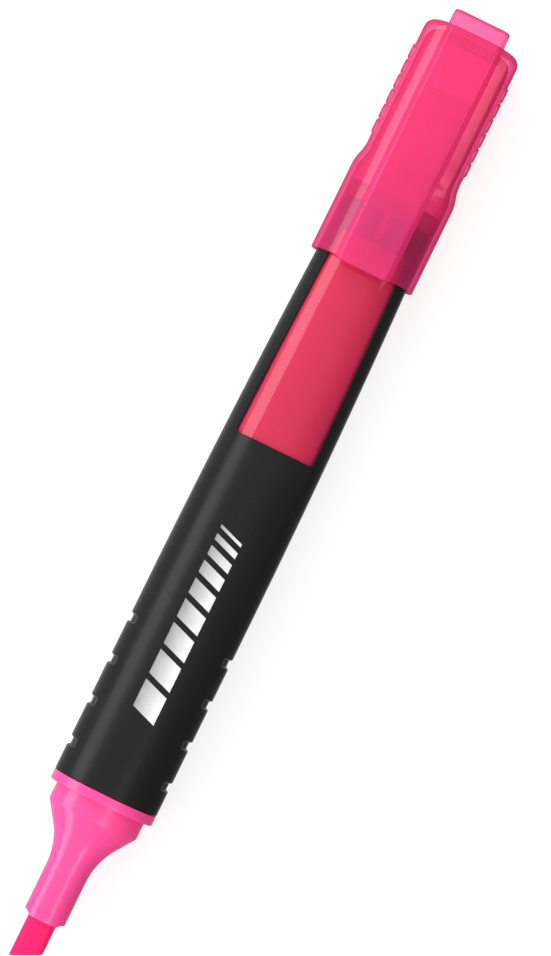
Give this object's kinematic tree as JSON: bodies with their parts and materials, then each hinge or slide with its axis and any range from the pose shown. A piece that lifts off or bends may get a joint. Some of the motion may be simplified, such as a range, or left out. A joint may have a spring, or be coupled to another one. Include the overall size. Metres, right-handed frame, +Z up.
{
  "type": "highlighter",
  "caption": "Liquid-ink highlighter: oval barrel with ink windows, chisel nib in a flared front section, and a tinted cap with a clip, posted on the tail.",
  "frame": {"origin": "on the surface that the pen lies on, under the middle of its length and width", "axes": "+X along the pen from nib to tail and cap end, +Z up through the clip side, +Y across the pen's width"},
  "size_m": [0.1626, 0.0176, 0.0158],
  "materials": {
    "sleeve_black": "satin moulded",
    "tank_clear": "polished clear",
    "ink": "wet",
    "section_pink": "polished moulded",
    "cap_tinted": "polished translucent",
    "liner_pink": "natural moulded",
    "nib_fibre": "porous, inked",
    "feed_white": "moulded",
    "seal_rubber": "soft"
  },
  "bodies": {
    "barrel": {"barrel_sleeve": "sleeve_black", "ink_tank": "tank_clear", "ink_charge": "ink", "tail_plug": "sleeve_black", "front_section": "section_pink", "section_seal": "seal_rubber", "chisel_nib": "nib_fibre", "ink_collector": "feed_white", "reservoir_bung": "seal_rubber", "feed_rod": "nib_fibre"},
    "cap": {"cap_shell": "cap_tinted", "cap_liner": "liner_pink"},
    "clip": {"pocket_clip": "cap_tinted"}
  },
  "joints": [
    {"name": "cap_slide", "type": "slide", "parent": "barrel", "child": "cap", "axis": [1, 0, 0], "range_m": [0, 0.05]},
    {"name": "clip_flex", "type": "hinge", "parent": "cap", "child": "clip", "pos_m": [0.07618, 0, 0.015], "axis": [0, 1, 0], "range_deg": [0, 5], "stiffness_Nm_per_rad": 0.3}
  ]
}
